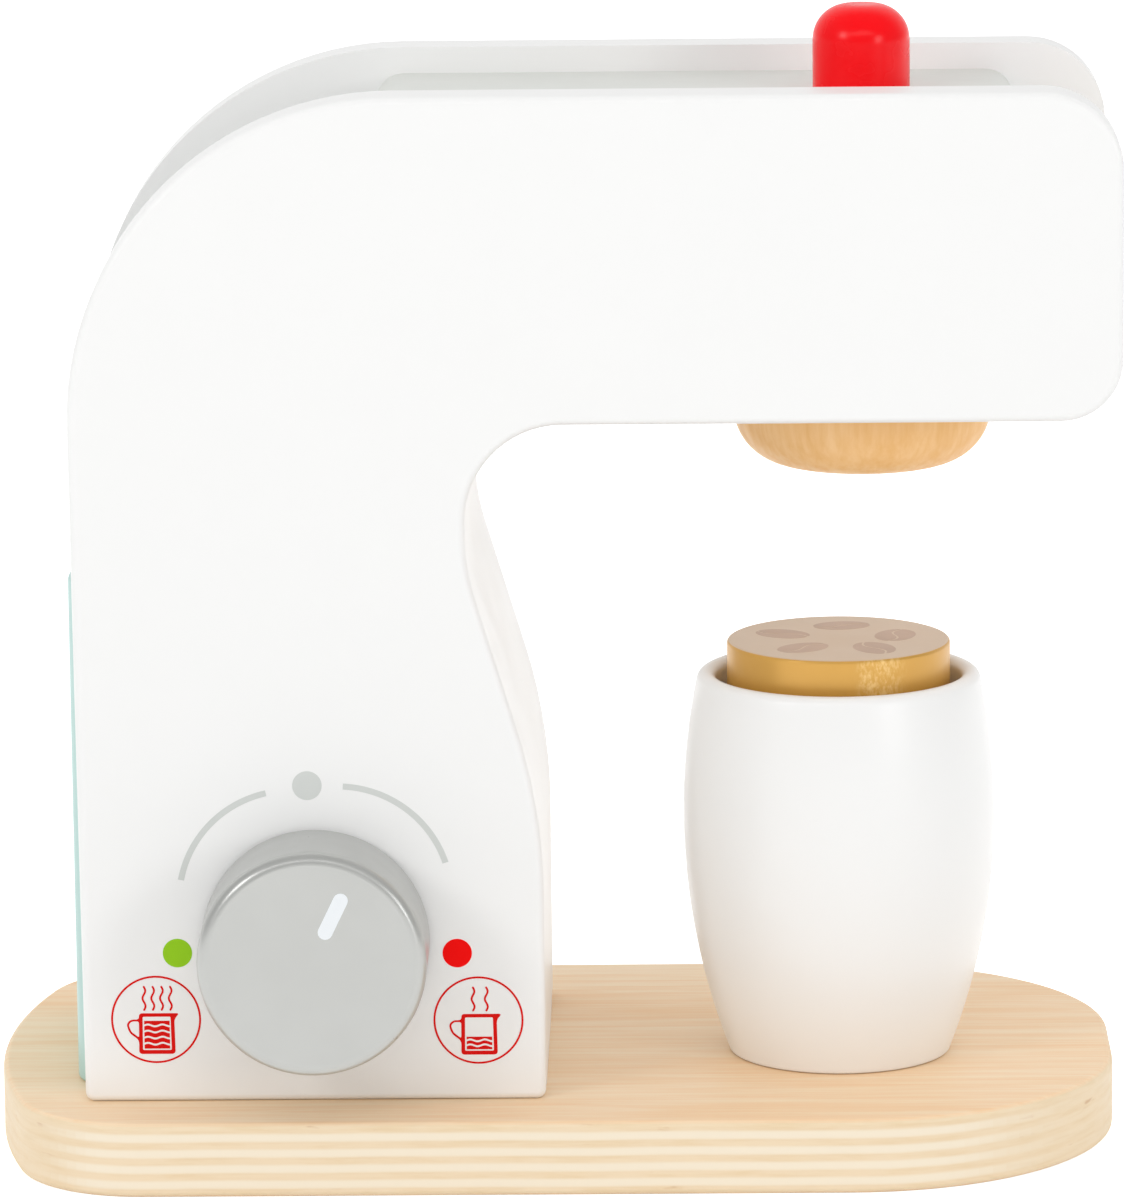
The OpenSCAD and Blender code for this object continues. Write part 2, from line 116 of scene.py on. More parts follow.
class Sheet:
    """A node tree being filled: the material's own, or a group's."""

    def __init__(self, tree):
        self.tree = tree

    def node(self, kind, **settings):
        made = self.tree.nodes.new(kind)
        for key, value in settings.items():
            setattr(made, key, value)
        return made

    def feed(self, socket, value):
        """Links another socket, or sets a plain value."""
        if isinstance(value, bpy.types.NodeSocket):
            self.tree.links.new(value, socket)
        elif value is not None:
            socket.default_value = value

    def math(self, operation, *values):
        n = self.node("ShaderNodeMath", operation=operation)
        for socket, value in zip(n.inputs, values):
            self.feed(socket, value)
        return n.outputs[0]

    def centred(self, noise):
        """A noise of 0 to 1, brought round 0."""
        return self.math("SUBTRACT", noise, 0.5)

    def beyond(self, share):
        """What a share leaves of 1."""
        return self.math("SUBTRACT", 1.0, share)

    def mix(self, share, a, b, blend="MIX"):
        n = self.node("ShaderNodeMix", data_type="RGBA", blend_type=blend)
        first_colour, second_colour, mixed_colour = n.inputs[6], n.inputs[7], n.outputs[2]
        self.feed(n.inputs["Factor"], share)
        self.feed(first_colour, a)
        self.feed(second_colour, b)
        return mixed_colour

    def span(self, value, low, high, to_low=0.0, to_high=1.0):
        """Brings a range of values to another, held at both ends."""
        n = self.node("ShaderNodeMapRange", interpolation_type="SMOOTHSTEP")
        for key, v in (("Value", value), ("From Min", low), ("From Max", high),
                       ("To Min", to_low), ("To Max", to_high)):
            self.feed(n.inputs[key], v)
        return n.outputs[0]

    def axes(self, vector):
        """The X, Y and Z of a vector."""
        n = self.node("ShaderNodeSeparateXYZ")
        self.feed(n.inputs[0], vector)
        return n.outputs

    def stretch(self, vector, scale):
        n = self.node("ShaderNodeVectorMath", operation="MULTIPLY")
        self.feed(n.inputs[0], vector)
        self.feed(n.inputs[1], scale)
        return n.outputs[0]

    def cloud(self, vector, scale, detail=3.0, rough=0.5, distort=0.0):
        n = self.node("ShaderNodeTexNoise")
        self.feed(n.inputs["Vector"], vector)
        for key, v in (("Scale", scale), ("Detail", detail), ("Roughness", rough),
                       ("Distortion", distort)):
            self.feed(n.inputs[key], v)
        return n.outputs["Fac"]


def new_group(name, inputs, outputs):
    """A shader node group with named sockets. Inputs are (name, kind, default)."""
    group = bpy.data.node_groups.new(name, "ShaderNodeTree")
    for socket_name, kind, default in inputs:
        s = group.interface.new_socket(socket_name, in_out="INPUT",
                                       socket_type="NodeSocket" + kind)
        if default is not None:
            s.default_value = default
    for socket_name, kind in outputs:
        group.interface.new_socket(socket_name, in_out="OUTPUT", socket_type="NodeSocket" + kind)
    sheet = Sheet(group)
    return sheet, sheet.node("NodeGroupInput").outputs, sheet.node("NodeGroupOutput").inputs


def paint_film_group():
    """Sprayed paint on fine wood: faint clouds in the tone, orange peel, and a little grain."""
    sheet, given, out = new_group(
        "paint film",
        [("Vector", "Vector", None), ("Paint", "Color", WHITE_PAINT), ("Clouds", "Float", 0.02),
         ("Peel size", "Float", 2.0), ("Roughness", "Float", 0.4)],
        [("Color", "Color"), ("Roughness", "Float"), ("Height", "Float")])
    grain_depth, rub_depth = 0.35, 0.22
    v = given["Vector"]
    clouds = sheet.cloud(v, scale=38.0, detail=4.0, rough=0.55)
    shade = sheet.math("MULTIPLY_ADD", sheet.centred(clouds), given["Clouds"], 1.0)
    grey = sheet.node("ShaderNodeCombineColor")
    for socket in grey.inputs:
        sheet.feed(socket, shade)
    sheet.feed(out["Color"], sheet.mix(1.0, given["Paint"], grey.outputs[0], "MULTIPLY"))
    peel = sheet.cloud(v, scale=sheet.math("DIVIDE", 1 / MM, given["Peel size"]), detail=2.0)
    grain = sheet.cloud(sheet.stretch(v, (0.16, 1.0, 1.0)), scale=900.0, detail=2.0, rough=0.6)
    rub = sheet.math("MULTIPLY", sheet.centred(sheet.cloud(v, scale=90.0, rough=0.6)), rub_depth)
    sheet.feed(out["Roughness"], sheet.math("ADD", given["Roughness"], rub))
    sheet.feed(out["Height"],
               sheet.math("ADD", peel, sheet.math("MULTIPLY", grain, grain_depth)))
    return sheet.tree


def wood_grain_group():
    """Long grain along X with streaks, pores and slow bands."""
    sheet, given, out = new_group(
        "wood grain",
        [("Vector", "Vector", None), ("Light", "Color", BARE_LIGHT), ("Dark", "Color", BARE_DARK),
         ("Bands", "Float", 1.25), ("Streaks", "Float", 0.5), ("Pores", "Float", 0.3)],
        [("Color", "Color"), ("Roughness", "Float"), ("Height", "Float")])
    all_light, all_dark = -0.245, 0.295
    no_pore, deep_pore = 0.36, 0.30
    v = given["Vector"]
    slow = sheet.cloud(sheet.stretch(v, (0.14, 1.0, 1.0)), scale=46.0, distort=0.6)
    streak = sheet.cloud(sheet.stretch(v, (0.05, 1.0, 1.0)),
                         scale=520.0, detail=4.0, rough=0.62, distort=0.2)
    fibre = sheet.cloud(sheet.stretch(v, (0.035, 1.0, 1.0)), scale=2600.0, rough=0.6)
    bands = sheet.math("MULTIPLY", sheet.centred(slow), given["Bands"])
    streaks = sheet.math("MULTIPLY", sheet.centred(streak), given["Streaks"])
    share = sheet.span(sheet.math("ADD", bands, streaks), all_light, all_dark)
    pore = sheet.span(fibre, no_pore, deep_pore)
    base = sheet.mix(share, given["Light"], given["Dark"])
    pore_share = sheet.math("MULTIPLY", pore, given["Pores"])
    sheet.feed(out["Color"], sheet.mix(pore_share, base, given["Dark"]))
    sheet.feed(out["Roughness"], sheet.span(streak, 0.3, 0.7, to_low=0.46, to_high=0.62))
    sheet.feed(out["Height"], sheet.math("SUBTRACT", sheet.math("MULTIPLY", streak, 0.5),
                                         sheet.math("MULTIPLY", pore, 0.5)))
    return sheet.tree


def ply_stack_group():
    """The layers of plywood at its edge: cream plies between darker ones, with end grain."""
    sheet, given, out = new_group(
        "ply stack",
        [("Vector", "Vector", None), ("Cream", "Color", PLY_CREAM), ("Tan", "Color", PLY_TAN),
         ("End grain", "Color", PLY_END_GRAIN), ("Fleck", "Color", PLY_FLECK),
         ("First ply", "Float", 0.0012), ("Ply pair", "Float", 0.00336), ("Pairs", "Float", 4.0),
         ("Across grain", "Float", 0.0)],
        [("Color", "Color"), ("Height", "Float"), ("Cream share", "Float")])
    wander_height, cream_lost, fleck_strength = 0.0007, 0.85, 0.7
    v = given["Vector"]
    wander = sheet.cloud(sheet.stretch(v, (1.0, 1.0, 0.2)), scale=26.0, detail=2.0)
    z = sheet.math("MULTIPLY_ADD", sheet.centred(wander), wander_height, sheet.axes(v)[Z])
    pair = sheet.math("DIVIDE", sheet.math("SUBTRACT", z, given["First ply"]), given["Ply pair"])
    pair = sheet.math("MINIMUM", sheet.math("MAXIMUM", pair, 0.0), given["Pairs"])
    ripple = sheet.math("ABSOLUTE", sheet.math("SINE", sheet.math("MULTIPLY", pair, math.pi)))
    cream = sheet.math("MULTIPLY", sheet.span(ripple, 0.42, 0.96),
                       sheet.math("MULTIPLY_ADD", given["Across grain"], -cream_lost, 1.0))
    ends = sheet.cloud(sheet.stretch(v, (0.10, 0.10, 1.0)), scale=800.0, rough=0.6)
    fleck = sheet.cloud(sheet.stretch(v, (1.0, 1.0, 5.0)), scale=75.0, rough=0.55)
    flecks = sheet.math("MULTIPLY", sheet.span(fleck, 0.64, 0.76), sheet.beyond(cream))
    tan = sheet.mix(sheet.span(ends, 0.35, 0.75), given["Tan"], given["End grain"])
    tan = sheet.mix(sheet.math("MULTIPLY", flecks, fleck_strength), tan, given["Fleck"])
    sheet.feed(out["Color"], sheet.mix(cream, tan, given["Cream"]))
    sheet.feed(out["Height"], sheet.math("MULTIPLY", sheet.math("ADD", cream, ends), 0.5))
    sheet.feed(out["Cream share"], cream)
    return sheet.tree


PAINT_FILM = paint_film_group()
WOOD_GRAIN = wood_grain_group()
PLY_STACK = ply_stack_group()


# ---- materials ----

class Finish(Sheet):
    """A material: its shader, the place on the piece, and the effects laid on it."""

    def __init__(self, name, **constants):
        self.material = bpy.data.materials.new(name)
        self.material.use_nodes = True
        super().__init__(self.material.node_tree)
        self.shader = self.tree.nodes["Principled BSDF"]
        for key, value in constants.items():
            self.shader.inputs[key.replace("_", " ")].default_value = value
        self.place = self.node("ShaderNodeTexCoord").outputs["Object"]

    def effect(self, group, **values):
        n = self.node("ShaderNodeGroup", node_tree=group)
        self.feed(n.inputs["Vector"], values.pop("vector", self.place))
        for key, value in values.items():
            self.feed(n.inputs[key.replace("_", " ")], value)
        return n.outputs

    def facing(self, axis):
        """How squarely the face looks along an axis, either way: 0 to 1."""
        normal = self.node("ShaderNodeNewGeometry").outputs["True Normal"]
        return self.math("ABSOLUTE", self.axes(normal)[axis])

    def wear(self, colour, roughness, height, depth, strength, **others):
        """Puts the effects on the shader. The height's depth is in millimetres."""
        self.feed(self.shader.inputs["Base Color"], colour)
        self.feed(self.shader.inputs["Roughness"], roughness)
        bump = self.node("ShaderNodeBump")
        bump.inputs["Strength"].default_value = strength
        bump.inputs["Distance"].default_value = depth * MM
        self.feed(bump.inputs["Height"], height)
        self.feed(self.shader.inputs["Normal"], bump.outputs[0])
        for key, value in others.items():
            self.feed(self.shader.inputs[key.replace("_", " ")], value)
        return self.material


def coated(name, paint, roughness, clouds, peel, depth, strength, **constants):
    """A material under one film. Peel is the size of its texture in millimetres."""
    finish = Finish(name, **constants)
    coat = finish.effect(PAINT_FILM, Paint=paint, Clouds=clouds, Peel_size=peel,
                         Roughness=roughness)
    return finish.wear(coat["Color"], coat["Roughness"], coat["Height"], depth, strength)


def grained(name, light, dark, streaks, pores, turn, **constants):
    """Bare or varnished wood, its grain turned by these angles from X."""
    finish = Finish(name, **constants)
    turned_place = finish.node("ShaderNodeMapping")
    turned_place.inputs["Rotation"].default_value = turn
    finish.feed(turned_place.inputs["Vector"], finish.place)
    grain = finish.effect(WOOD_GRAIN, vector=turned_place.outputs[0], Light=light, Dark=dark,
                          Streaks=streaks, Pores=pores)
    return finish.wear(grain["Color"], grain["Roughness"], grain["Height"],
                       depth=0.05, strength=0.35)


def plywood(name):
    """Face veneer on top and below, and the stack of plies round the edge."""
    finish = Finish(name, Specular_IOR_Level=0.3)
    face = finish.effect(WOOD_GRAIN, Light=PLY_FACE_LIGHT, Dark=PLY_FACE_DARK,
                         Bands=0.6, Streaks=0.8, Pores=0.4)
    across_grain = finish.span(finish.facing(X), 0.3, 0.85)
    edge = finish.effect(PLY_STACK, Across_grain=across_grain)
    flat = finish.span(finish.facing(Z), 0.55, 0.85)
    colour = finish.mix(flat, edge["Color"], face["Color"])
    height = finish.math("ADD", finish.math("MULTIPLY", flat, face["Height"]),
                         finish.math("MULTIPLY", finish.beyond(flat), edge["Height"]))
    return finish.wear(colour, face["Roughness"], height, depth=0.05, strength=0.4)


def wool_felt():
    """Pressed fluff in two greys."""
    finish = Finish("grey_wool_felt", Roughness=0.95, Sheen_Weight=0.3)
    fluff = finish.cloud(finish.place, scale=2600.0, detail=4.0, rough=0.7)
    colour = finish.mix(finish.span(fluff, 0.3, 0.7), FELT_DARK, FELT_LIGHT)
    return finish.wear(colour, None, fluff, depth=0.2, strength=0.6)


def pod_finish():
    """Gold round the side with a painted highlight in one place, where the right lamp shows in the
    gloss, and matt on the two faces.
    """
    finish = Finish("coffee_pod_paint")
    gold = finish.effect(PAINT_FILM, Paint=GOLD_PAINT, Clouds=0.14, Peel_size=1.4, Roughness=0.36)
    top = finish.effect(PAINT_FILM, Paint=POD_TOP, Clouds=0.06, Peel_size=0.8, Roughness=0.5)
    flat = finish.span(finish.facing(Z), 0.70, 0.86)
    x, y, _ = finish.axes(finish.place)
    # The window right of the pod's axis where the right lamp's reflection is painted on, as flecks
    # of lighter gold.
    highlight_left, highlight_right = ((POD_AXIS[0] + side) * MM for side in (2.5, 15))
    highlight_back, highlight_front = (side * MM for side in (POD_AXIS[1], POD_AXIS[1] - 4))
    highlight_fade_left, highlight_fade_right = 0.003, 0.005
    highlight_patch = finish.math("MULTIPLY", finish.span(x, highlight_left, highlight_left + highlight_fade_left),
                        finish.span(x, highlight_right, highlight_right - highlight_fade_right))
    highlight_patch = finish.math("MULTIPLY", highlight_patch, finish.span(y, highlight_back, highlight_front))
    highlight_specks = finish.cloud(finish.stretch(finish.place, (1.0, 1.0, 0.5)),
                          scale=1100.0, detail=4.0, rough=0.65)
    painted_highlight = finish.math("MULTIPLY", highlight_patch, finish.span(highlight_specks, 0.40, 0.70))
    # Painted highlight: lighter gold mixed into the side's colour in place of the lamp's
    # reflection.
    side = finish.mix(painted_highlight, gold["Color"], GOLD_PAINTED_HIGHLIGHT)
    matt = finish.math("MULTIPLY", flat, 0.12)
    return finish.wear(finish.mix(flat, side, top["Color"]),
                       finish.math("ADD", gold["Roughness"], matt),
                       gold["Height"], depth=0.04, strength=0.3,
                       Metallic=finish.math("MULTIPLY", finish.beyond(flat), 0.3))


white_paint = coated("white_paint_satin", WHITE_PAINT, roughness=0.38, clouds=0.014, peel=2.2,
                     depth=0.03, strength=0.22)
cup_white = coated("cup_white_paint", WHITE_PAINT, roughness=0.34, clouds=0.012, peel=3.0,
                   depth=0.03, strength=0.18)
silver_paint = coated("silver_grey_paint", SILVER_PAINT, roughness=0.36, clouds=0.02, peel=1.2,
                      depth=0.02, strength=0.2, Metallic=0.1)
knob_paint = coated("knob_silver_paint", KNOB_PAINT, roughness=0.32, clouds=0.02, peel=1.2,
                    depth=0.02, strength=0.06, Metallic=0.38, Specular_IOR_Level=0.7)
red_lacquer = coated("red_lacquer", RED_LACQUER, roughness=0.26, clouds=0.16, peel=1.6,
                     depth=0.03, strength=0.12, Specular_IOR_Level=0.24)
tank_blue = coated("pale_blue_paint", TANK_BLUE, roughness=0.40, clouds=0.03, peel=2.0,
                   depth=0.03, strength=0.25)
steel = coated("brushed_steel", STEEL, roughness=0.32, clouds=0.12, peel=0.5,
               depth=0.01, strength=0.3, Metallic=1.0)
felt = wool_felt()
pod_paint = pod_finish()
ply = plywood("birch_plywood")
spout_wood = grained("varnished_spout_wood", SPOUT_LIGHT, SPOUT_DARK, streaks=0.6, pores=0.35,
                     turn=(0, math.pi / 2, 0), Coat_Weight=0.12, Coat_Roughness=0.3)
bare_wood = grained("bare_housing_wood", BARE_LIGHT, BARE_DARK, streaks=0.7, pores=0.5,
                    turn=(0, 0, math.pi / 2))


def ink(name, colour, patchy, roughness=0.38):
    """Screen-printed ink, a little uneven."""
    return coated(name, colour, roughness, patchy, peel=0.6, depth=0.01, strength=0.2,
                  Specular_IOR_Level=0.08)


red_ink = ink("red_print_ink", RED_INK, patchy=0.12)
dot_red = ink("red_dot_ink", DOT_RED, patchy=0.05)
dot_green = ink("green_dot_ink", DOT_GREEN, patchy=0.05)
grey_ink = ink("grey_print_ink", GREY_INK, patchy=0.05)
marker_ink = ink("marker_white_ink", MARKER_WHITE, patchy=0.04)
bean_ink = ink("bean_print_ink", BEAN_INK, patchy=0.5, roughness=0.5)


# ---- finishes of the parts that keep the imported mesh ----

def dress(name, material):
    """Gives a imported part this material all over."""
    part = nodes[name]
    part.data.materials.clear()
    part.data.materials.append(material)
    for face in part.data.polygons:
        face.material_index = 0


for material, names in (
        (white_paint, ["arm_floor"]),
        (silver_paint, ["top_board"]),
        (bare_wood, ["button_housing", "panel_dowels"]),
        (spout_wood, ["spout"]),
        (red_lacquer, ["button_cap"]),
        (knob_paint, ["knob"]),
        (felt, ["knob_glide"]),
        (pod_paint, ["coffee_pod"]),
        (steel, ["base_screws", "stop_washer", "stop_screw", "button_spring", "spout_screw",
                 "knob_axle", "axle_washer", "lock_nut"])):
    for name in names:
        dress(name, material)


# ---- curves that the shapes and the prints use ----

def arc_points(x, y, r, start, end, steps=32):
    """Points on a circle from one angle to another, in degrees."""
    return [(x + r * math.cos(math.radians(a)), y + r * math.sin(math.radians(a)))
            for a in (start + (end - start) * i / steps for i in range(steps + 1))]


def bend(start, corner, end, steps):
    """Points of a small curve from start to end in the place of a corner."""
    return [(1 - t) ** 2 * start + 2 * t * (1 - t) * corner + t ** 2 * end
            for t in (i / steps for i in range(steps + 1))]


# ---- boards with eased edges ----

# In metres: points nearer than WELD are one, a point within ON_FACE of a face's level lies on
# it, and an outline leaves out sides up to SHORT_SIDE. A turn from HARD_CORNER on is a corner,
# and CORNER_R softens it.
WELD, ON_FACE, SHORT_SIDE = 2e-6, 1e-6, 4e-5
HARD_CORNER, CORNER_R = math.radians(25), 0.0005


def on_level(verts, axis, level):
    return all(abs(v.co[axis] - level) < ON_FACE for v in verts)


def length_round(rim):
    return sum((a.co - b.co).length for a, b in zip(rim, rim[1:] + rim[:1]))


def longest_rim(faces):
    """The vertices round a set of faces in their order, along the longest of its borders."""
    inside = set(faces)
    following = {}
    for face in faces:
        for loop in face.loops:
            if not any(other in inside and other is not face for other in loop.edge.link_faces):
                following[loop.vert] = loop.link_loop_next.vert
    rims = []
    while following:
        vert, after = following.popitem()
        rim = [vert]
        while after is not rim[0]:
            rim.append(after)
            after = following.pop(after)
        rims.append(rim)
    return max(rims, key=length_round)


def soft_corners(contour):
    """Replaces each hard corner of a closed 2D contour by a small curve."""
    soft = []
    for i, here in enumerate(contour):
        before, after = contour[i - 1], contour[(i + 1) % len(contour)]
        if (here - before).angle(after - here) < HARD_CORNER:
            soft.append(here)
            continue
        reach = [min(CORNER_R, (to - here).length / 3) for to in (before, after)]
        start, end = (here + (to - here).normalized() * far
                      for to, far in zip((before, after), reach))
        soft += bend(start, here, end, 4)
    return soft


def board_contour(rim, across):
    """A rim as a clean 2D contour that runs anticlockwise."""
    contour = [Vector((v.co[across[0]], v.co[across[1]])) for v in rim]
    if sum(a.cross(b) for a, b in zip(contour, contour[1:] + contour[:1])) < 0:
        contour.reverse()
    return soft_corners([here for i, here in enumerate(contour)
                         if (here - contour[i - 1]).length > SHORT_SIDE])


def outward(contour):
    """At each point of a contour that runs anticlockwise: its outward direction, and the
    stretch that keeps a parallel contour at an even distance."""
    found = []
    for i, here in enumerate(contour):
        sides = [(here - contour[i - 1]).normalized(),
                 (contour[(i + 1) % len(contour)] - here).normalized()]
        normals = [Vector((side.y, -side.x)) for side in sides]
        middle = (normals[0] + normals[1]).normalized()
        found.append((middle, 1 / middle.dot(normals[0])))
    return found


def grown(contour, by):
    """The contour moved out by this many millimetres, but not below the level it stands on."""
    standing = min(here.y for here in contour)
    moved = [here + direction * stretch * by * MM
             for here, (direction, stretch) in zip(contour, outward(contour))]
    return [Vector((here.x, max(here.y, standing))) for here in moved]


def edge_section(levels, eased, steps=5):
    """The way round a board's edge from its low to its high face: at each step the level, the
    inset, and how far the shading faces outward and along the axis."""
    low_r, high_r = (r * MM for r in eased)
    quarter = [math.pi / 2 * k / steps for k in range(steps + 1)]
    return ([(levels[0] + low_r * (1 - math.sin(t)), low_r * (1 - math.cos(t)),
              math.cos(t), -math.sin(t)) for t in reversed(quarter)]
            + [(levels[1] - high_r * (1 - math.sin(t)), high_r * (1 - math.cos(t)),
                math.cos(t), math.sin(t)) for t in quarter])


def eased_board(name, material, axis, eased, holes=False, filler=0):
    """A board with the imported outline, its edges rounded by these many millimetres at the low and
    the high face. Its thickness runs along the axis; its screw holes are kept where they show.
    Filler thickens it by so much all round, down to the level that it stands on."""
    bm = bmesh.new()
    bm.from_mesh(nodes[name].data)
    bmesh.ops.remove_doubles(bm, verts=bm.verts, dist=WELD)
    levels = [pick(v.co[axis] for v in bm.verts) for pick in (min, max)]
    caps = [[f for f in bm.faces if on_level(f.verts, axis, level)] for level in levels]
    across = [k for k in range(3) if k != axis]
    rims = [longest_rim(cap) for cap in caps]
    contour = board_contour(rims[1], across)
    if filler:
        contour = grown(contour, filler)
    if holes:
        edge_verts = {v for rim in rims for v in rim}
        walls = [f for f in bm.faces if all(v in edge_verts for v in f.verts)]
        bmesh.ops.delete(bm, geom=list({*caps[0], *caps[1], *walls}), context="FACES")
    else:
        bm.clear()
    hole_rims = [[e for e in bm.edges if len(e.link_faces) == 1 and on_level(e.verts, axis, level)]
                 for level in levels]
    directions = outward(contour)
    shading, layers = {}, []
    for level, inset, out, along in edge_section(levels, eased):
        layer = []
        for here, (direction, stretch) in zip(contour, directions):
            place = here - direction * stretch * inset
            co, normal = [0.0] * 3, [0.0] * 3
            for k, u, n in zip(across, place, direction):
                co[k], normal[k] = u, n * out
            co[axis], normal[axis] = level, along
            vert = bm.verts.new(co)
            shading[vert] = normal
            layer.append(vert)
        layers.append(layer)
    for low, high in zip(layers, layers[1:]):
        for i in range(len(low)):
            bm.faces.new((low[i - 1], low[i], high[i], high[i - 1]))
    for layer, hole_rim in ((layers[0], hole_rims[0]), (layers[-1], hole_rims[1])):
        if hole_rim:
            edges = [bm.edges.get((layer[i - 1], layer[i])) for i in range(len(layer))]
            bmesh.ops.triangle_fill(bm, use_beauty=True, use_dissolve=False,
                                    edges=edges + hole_rim)
        else:
            bm.faces.new(layer)
    bmesh.ops.recalc_face_normals(bm, faces=bm.faces)
    for face in bm.faces:
        face.smooth = True
    bm.verts.index_update()
    normals = [shading[loop.vert] if loop.vert in shading else tuple(face.normal)
               for face in bm.faces for loop in face.loops]
    mesh = bpy.data.meshes.new("eased_" + name)
    bm.to_mesh(mesh)
    bm.free()
    mesh.normals_split_custom_set(normals)
    mesh.materials.append(material)
    board = put_in_scene("eased_" + name, mesh)
    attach(board, "machine")
    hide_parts(name)


# In millimetres: how far each board's edges are eased, and the filler that brings the column's
# front up to the edges of the panels.
OUTER_EDGE, INNER_EDGE, LINING_EDGE, TANK_EDGE, BASE_EDGE = 1.6, 0.1, 0.05, 1.2, 1.4
JOINT_FILLER = 0.48

eased_board("near_panel", white_paint, Y, (OUTER_EDGE, INNER_EDGE))
eased_board("far_panel", white_paint, Y, (INNER_EDGE, OUTER_EDGE))
eased_board("column_front", white_paint, Y, (LINING_EDGE, LINING_EDGE),
            filler=JOINT_FILLER)
eased_board("water_tank", tank_blue, Z, (TANK_EDGE, TANK_EDGE))
eased_board("base_board", ply, Z, (BASE_EDGE, BASE_EDGE), holes=True)


# ---- the turned cup ----

def turned(name, profile, material, body, node, turns=128):
    """A piece from the lathe: points of radius and height in millimetres, spun round the
    node's axis."""
    (x0, y0, z0), (x1, y1, _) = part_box(node)
    axis_x, axis_y = (x0 + x1) / 2, (y0 + y1) / 2
    bm = bmesh.new()
    rings = []
    for r, z in profile:
        count = turns if r > 0 else 1
        verts = [bm.verts.new((axis_x + r * MM * math.cos(a), axis_y + r * MM * math.sin(a),
                               z0 + z * MM))
                 for a in (2 * math.pi * i / turns for i in range(count))]
        rings.append(verts * (turns // count))
    for low, high in zip(rings, rings[1:]):
        for i in range(turns):
            corners = dict.fromkeys((low[i - 1], low[i], high[i], high[i - 1]))
            bm.faces.new(list(corners)).smooth = True
    bmesh.ops.recalc_face_normals(bm, faces=bm.faces)
    mesh = bpy.data.meshes.new(name)
    bm.to_mesh(mesh)
    bm.free()
    mesh.materials.append(material)
    piece = put_in_scene(name, mesh)
    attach(piece, body)
    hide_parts(node)


def cup_profile():
    """The cup's half section: an eased foot, one long curve that runs into the rim, and the
    bore. The rim's radius is found by halving, so that the long curve meets it smoothly."""
    low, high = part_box("cup")
    widest, height = (high[0] - low[0]) / 2 / MM, (high[2] - low[2]) / MM
    belly_z, side_r, mouth_r, foot_r = 52.5, 146, 26.3, 0.8
    floor_z, floor_r, floor_round = 38, 24.2, 8
    middle = widest - side_r
    thin, thick = 1.0, 4.0
    for _ in range(40):
        rim_r = (thin + thick) / 2
        reach = math.hypot(mouth_r + rim_r - middle, height - rim_r - belly_z)
        thin, thick = (thin, rim_r) if reach > side_r - rim_r else (rim_r, thick)
    meet = math.degrees(math.atan2(height - rim_r - belly_z, mouth_r + rim_r - middle))
    start = math.degrees(math.asin((foot_r - belly_z) / side_r))
    side = arc_points(middle, belly_z, side_r, start, meet, 40)
    foot_x = side[0][0] - foot_r
    foot = arc_points(foot_x, foot_r, foot_r, -90, start, 5)
    rim = arc_points(mouth_r + rim_r, height - rim_r, rim_r, meet, 180, 12)
    bore = arc_points(floor_r - floor_round, floor_z + floor_round, floor_round, 0, -90, 12)
    return [(0, 0), (foot_x / 2, 0)] + foot[:-1] + side + rim[1:] + bore + [(0, floor_z)]


turned("turned_cup", cup_profile(), cup_white, "cup", "cup")


# ---- the spring under the button ----


def coil_spring():
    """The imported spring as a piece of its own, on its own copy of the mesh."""
    packed = nodes["button_spring"]
    spring = put_in_scene("coil_spring", packed.data.copy())
    spring.matrix_world = packed.matrix_world.copy()
    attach(spring, "machine")
    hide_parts("button_spring")
    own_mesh(spring)


coil_spring()


# ---- outlines for the prints, in millimetres ----

def disc(x, y, r, steps=72):
    return arc_points(x, y, r, 0, 360, steps)[:-1]


def stroke(path, line):
    """The outline of a line of even thickness along an open path, with round ends."""
    sides = ([], [])
    for i, (x, y) in enumerate(path):
        (ax, ay), (bx, by) = path[max(i - 1, 0)], path[min(i + 1, len(path) - 1)]
        along = math.atan2(by - ay, bx - ax)
        for side, turn in zip(sides, (math.pi / 2, -math.pi / 2)):
            side.append((x + line / 2 * math.cos(along + turn),
                         y + line / 2 * math.sin(along + turn)))
    caps = []
    for (x, y), (nx, ny) in ((path[-1], sides[0][-1]), (path[0], sides[1][0])):
        start = math.degrees(math.atan2(ny - y, nx - x))
        caps.append(arc_points(x, y, line / 2, start, start - 180, 8)[1:-1])
    return sides[0] + caps[0] + sides[1][::-1] + caps[1]


def rounded(corners, r):
    """A closed outline with every corner rounded by r, or by what its shorter side allows."""
    outline = []
    for i, corner in enumerate(corners):
        here, before, after = (Vector(c) for c in (corner, corners[i - 1],
                                                   corners[(i + 1) % len(corners)]))
        reach = min(r, (before - here).length / 2.01, (after - here).length / 2.01)
        start, end = (here + (to - here).normalized() * reach for to in (before, after))
        outline += [tuple(point) for point in bend(start, here, end, 6)]
    return outline


def wave(x0, x1, y, swing, turns, steps=30):
    """Points along a level wavy line."""
    return [(x0 + (x1 - x0) * t, y + swing * math.sin(2 * math.pi * turns * t))
            for t in (i / steps for i in range(steps + 1))]


FILM = 0.06  # a print's thickness
SUNK = 0.02  # how much of it lies in the face


def film(name, outlines, material, body, place):
    """A printed film: outlines in millimetres, filled by turns from the outside in, on a flat
    face."""
    curve = bpy.data.curves.new(name, "CURVE")
    curve.dimensions, curve.fill_mode, curve.extrude = "2D", "BOTH", FILM / 2 * MM
    for outline in outlines:
        spline = curve.splines.new("POLY")
        spline.points.add(len(outline) - 1)
        for point, (x, y) in zip(spline.points, outline):
            point.co = (x * MM, y * MM, 0, 1)
        spline.use_cyclic_u = True
    mesh = bpy.data.meshes.new_from_object(bpy.data.objects.new(name + "_outline", curve))
    mesh.name = name
    mesh.transform(place @ Matrix.Translation((0, 0, (FILM / 2 - SUNK) * MM)))
    mesh.materials.clear()
    mesh.materials.append(material)
    piece = put_in_scene(name, mesh)
    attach(piece, body)


# ---- prints on the near panel and the knob: X along it, Y up from the base board's top ----

